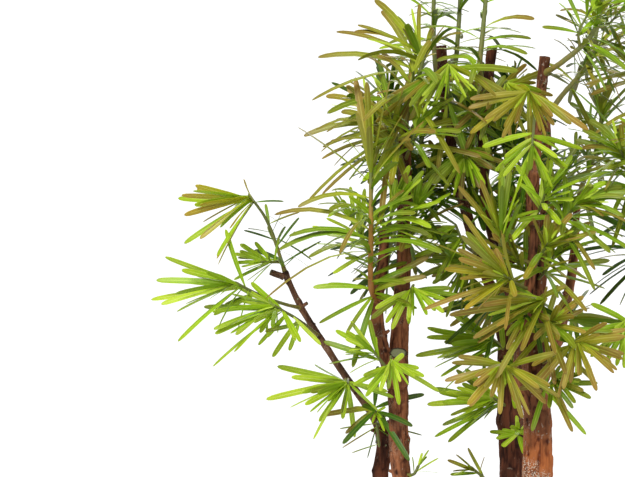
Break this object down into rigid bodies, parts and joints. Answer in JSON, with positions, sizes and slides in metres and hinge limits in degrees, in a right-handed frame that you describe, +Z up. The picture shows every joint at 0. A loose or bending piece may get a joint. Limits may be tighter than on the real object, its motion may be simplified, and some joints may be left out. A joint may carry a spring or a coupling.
{
  "type": "potted yew plum pine",
  "caption": "Multi-stemmed evergreen with long strap leaves, cut back and in new growth, in a plain round pot of soil.",
  "frame": {"origin": "centre of the pot's flat underside", "axes": "+Z up the plant; the front view in the picture looks along +Y, with the long left-hand bough towards -X"},
  "size_m": [0.6309, 0.3563, 0.8285],
  "materials": {
    "bark_red": "matte",
    "bark_dark": "matte",
    "bark_light": "matte",
    "pot_stoneware": "matte",
    "potting_mix": "matte",
    "foliage_lime": "satin",
    "foliage_gold": "satin",
    "foliage_green": "satin",
    "foliage_olive": "satin",
    "foliage_deep": "satin",
    "foliage_bronze": "satin"
  },
  "bodies": {
    "root": {"stem_left": "bark_red", "limb_left_front": "bark_light", "stem_left_rear": "bark_dark", "bough_left": "bark_red", "stem_rear": "bark_dark", "limb_rear_left": "bark_dark", "limb_rear_right": "bark_dark", "stem_front": "bark_light", "limb_front_left": "bark_light", "stem_right": "bark_red", "limb_right_front": "bark_light", "stem_right_rear": "bark_dark", "bough_right": "bark_red", "stem_back": "bark_dark", "limb_back_right": "bark_dark", "limb_back_left": "bark_dark", "root_crown": "bark_dark", "pot": "pot_stoneware", "soil": "potting_mix", "leaves_bough_left_tip": "foliage_gold", "leaves_bough_left_upper": "foliage_lime", "leaves_bough_left_middle": "foliage_lime", "leaves_bough_left_low": "foliage_lime", "leaves_fork_front": "foliage_lime", "leaves_stem_left_right": "foliage_lime", "shoot_left_tall": "foliage_green", "leaves_left_bright": "foliage_lime", "crown_left_outer": "foliage_olive", "crown_left_top": "foliage_olive", "crown_left_back": "foliage_deep", "shoots_centre_top": "foliage_green", "shoot_centre_right_top": "foliage_green", "umbrella_centre_top": "foliage_bronze", "leaves_rear_left_low": "foliage_green", "crown_rear_top": "foliage_deep", "plume_centre": "foliage_green", "umbrella_centre": "foliage_bronze", "umbrella_front_middle": "foliage_olive", "leaves_rear_low_left": "foliage_lime", "umbrella_front_low": "foliage_bronze", "leaves_rear_low_right": "foliage_lime", "sprout_low": "foliage_olive", "umbrella_front_top": "foliage_bronze", "crown_front_top": "foliage_green", "leaves_front_right": "foliage_green", "umbrella_front_right": "foliage_bronze", "crown_right_top": "foliage_olive", "shoot_right_tall": "foliage_green", "crown_right_back": "foliage_deep", "leaves_right_inner": "foliage_green", "umbrella_right_fork": "foliage_lime", "leaves_bough_right_tip": "foliage_gold", "leaves_bough_right_middle": "foliage_lime", "leaves_bough_right_low": "foliage_lime", "crown_back_top": "foliage_olive", "crown_back_right": "foliage_green", "crown_back_left": "foliage_green", "umbrella_back_low": "foliage_bronze", "leaves_back_low": "foliage_green"}
  },
  "joints": []
}
